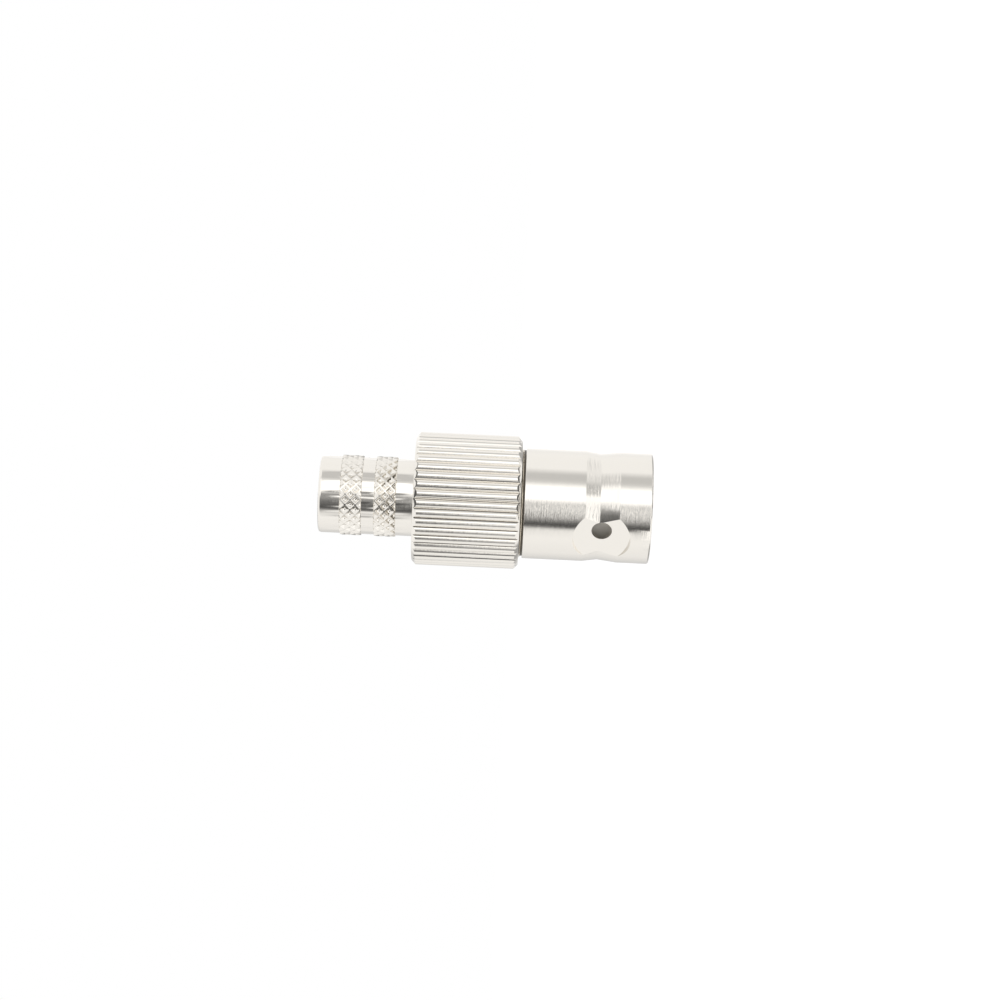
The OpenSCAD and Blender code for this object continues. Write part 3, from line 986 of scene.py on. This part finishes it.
# The pin's tip is a quarter ellipse, twice as long as it is wide
tip = PIN_R / 2
round_tip = [
    (PIN_R - tip * (1 - cos(a)), pin_low + 2 * tip * (1 - sin(a)))
    for a in (radians(degree) for degree in range(75, -1, -15))
]
outlines = {
    "plug_body": [
        (COLLAR_R + FIT, high("gasket")),
        (flange_r, high("gasket")),
        (flange_r, low("front_washer")),
        (BARREL_R, low("front_washer")),
        (BARREL_R, ring_seat),
        (groove_floor_r, ring_seat),
        (groove_floor_r, ring_seat_end),
        (BARREL_R, ring_seat_end),
        (BARREL_R, body_end),
        (BODY_BORE_R, body_end),
        (BODY_BORE_R, shoulder),
        (COLLAR_R + FIT, shoulder),
    ],
    "front_insulator": [
        (CAVITY_R, insulator_low),
        (CONTACT_BORE_R - FIT, insulator_low),
        (CONTACT_BORE_R - FIT, shoulder),
        (HEAD_R + FIT, shoulder),
        (HEAD_R + FIT, head_low),
        (SHANK_R + FIT, head_low),
        (SHANK_R + FIT, web_end),
        (PIN_R + FIT, web_end),
        (PIN_R + FIT, cavity_end),
        (CAVITY_R, cavity_end),
    ],
    "rear_insulator": washer("rear_insulator", SHANK_R + FIT),
    "centre_pin": [
        (0, pin_low),
        *round_tip,
        (PIN_R, web_end),
        (SHANK_R, web_end),
        (SHANK_R, head_low),
        (HEAD_R, head_low),
        (HEAD_R, shoulder),
        (SHANK_R, shoulder),
        (SHANK_R, pin_end),
        (CUP_R, pin_end),
        (CUP_R, cup_end),
        (0, cup_end),
    ],
    "gasket": washer("gasket", COLLAR_R + FIT),
    "front_washer": washer("front_washer", LIP_R),
    "slip_washer": washer("slip_washer", LIP_R),
    "outer_contact": [
        (CONTACT_BORE_R + CONTACT_RIM, contact_low),
        (CONTACT_R - CONTACT_RIM, contact_low),
        (CONTACT_R, contact_low + CONTACT_RIM),
        (CONTACT_R, collar_low),
        (COLLAR_R, collar_low),
        (COLLAR_R, shoulder),
        (CONTACT_BORE_R, shoulder),
        (CONTACT_BORE_R, contact_low + CONTACT_RIM),
    ],
    "retaining_ring": washer("retaining_ring", groove_floor_r + FIT),
    "crimp_stem": [
        (CABLE_R, pin_end),
        (BODY_BORE_R - FIT, pin_end),
        (BODY_BORE_R - FIT, body_end),
        (hub_r, body_end),
        (hub_r, hub_end - HUB_CHAMFER),
        (hub_r - HUB_CHAMFER, hub_end),
        (boss_r, hub_end),
        (boss_r, boss_end),
        *stem_grips(),
        (STEM_R, stem_end - STEM_CHAMFER),
        (STEM_R - STEM_CHAMFER, stem_end),
        (CABLE_R, stem_end),
    ],
}
print("outlines:", {name: len(points) for name, points in outlines.items()})

# %% [markdown]
# Two of them are cut after turning. The contact is slotted into four springy
# fingers that grip the jack, and the retaining ring is sawn open so that it
# can be sprung into its groove.
# %% Turn the inner pieces
INNER_STEPS = 128
SLOT_W = 0.5
SLOT_END = collar_low - 1
RING_GAP = 3
SAW_REACH = 6
SAW_SPARE = 1
# For each piece: body, kind of finish, material, and width of its broken edges
INNER = {
    "plug_body": ("plug", "nickel_plate", bright_nickel, 0.06),
    "front_insulator": ("plug", "ptfe", ptfe, 0.05),
    "rear_insulator": ("plug", "ptfe", ptfe, 0.05),
    "centre_pin": ("plug", "gold_plate", gold, 0.03),
    "gasket": ("plug", "silicone", silicone, 0.12),
    "front_washer": ("plug", "nickel_plate", bright_nickel, 0.04),
    "slip_washer": ("washer", "nickel_plate", bright_nickel, 0.04),
    "outer_contact": ("plug", "nickel_plate", frosted_nickel, 0.03),
    "retaining_ring": ("plug", "spring_bronze", bronze, 0.05),
    "crimp_stem": ("plug", "nickel_plate", bright_nickel, 0.05),
}


def saw(width, start, end, turn_deg, from_r, to_r):
    """A flat blade, from one radius to another, between two heights."""
    bpy.ops.object.select_all(action="DESELECT")
    bpy.ops.mesh.primitive_cube_add(
        size=MM,
        location=((from_r + to_r) / 2 * MM, 0, (start + end) / 2 * MM),
        scale=(to_r - from_r, width, end - start),
    )
    blade = bpy.context.object
    bpy.ops.object.transform_apply()
    blade.rotation_euler.z = radians(turn_deg)
    bpy.ops.object.transform_apply()
    return blade


for name, outline in outlines.items():
    body, slot, finish, edge = INNER[name]
    piece = turned(f"{name}_turned", outline, steps=INNER_STEPS)
    if name == "outer_contact":
        for turn_deg in (45, 135):
            blade = saw(SLOT_W, 0, SLOT_END, turn_deg, -SAW_REACH, SAW_REACH)
            cut_away(piece, blade)
    if name == "retaining_ring":
        start, end = low(name) - SAW_SPARE, high(name) + SAW_SPARE
        cut_away(piece, saw(RING_GAP, start, end, 0, 0, SAW_REACH))
    break_edges(piece, edge)
    finish_piece(piece, body, slot, finish)
    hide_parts(name)
print("turned:", len(INNER), "inner pieces")

# %% [markdown]
# The two wave washers push the nut back so that the jack's studs stay locked.
# Each is a flat ring stamped from bronze strip and pressed into three waves.
# The nut flattens them as it is pushed on.
# %% Wave washers
WAVES = 3
STRIP_T = 0.2
STRIP_EDGE = 0.04
WAVE_STEPS = 144
# Only the strip's own edges are broken, and no crest of a wave is this steep
CREST_DEG = 40

for name, flip in (("wave_spring_front", 1), ("wave_spring_rear", -1)):
    start, end = low(name), high(name)
    middle = (start + end) / 2
    swing = (end - start - STRIP_T) / 2
    ring = turned(
        f"{name}_pressed",
        [
            (LIP_R, middle - STRIP_T / 2),
            (radius(name), middle - STRIP_T / 2),
            (radius(name), middle + STRIP_T / 2),
            (LIP_R, middle + STRIP_T / 2),
        ],
        steps=WAVE_STEPS,
    )
    bpy.ops.object.mode_set(mode="EDIT")
    per_wave = WAVE_STEPS // WAVES
    for step in range(per_wave // 2 + 1):

        def on_step(x, y, z):
            place = round(atan2(y, x) / (2 * pi) * WAVE_STEPS) % per_wave
            return min(place, per_wave - place) == step

        select_by(ring, on_step)
        lift = flip * swing * cos(2 * pi * step / per_wave)
        bpy.ops.transform.translate(value=(0, 0, lift * MM))
    bpy.ops.object.mode_set(mode="OBJECT")
    break_edges(ring, STRIP_EDGE, from_deg=CREST_DEG)
    finish_piece(ring, "plug", "spring_bronze", bronze)
    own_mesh(ring)
    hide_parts(name)
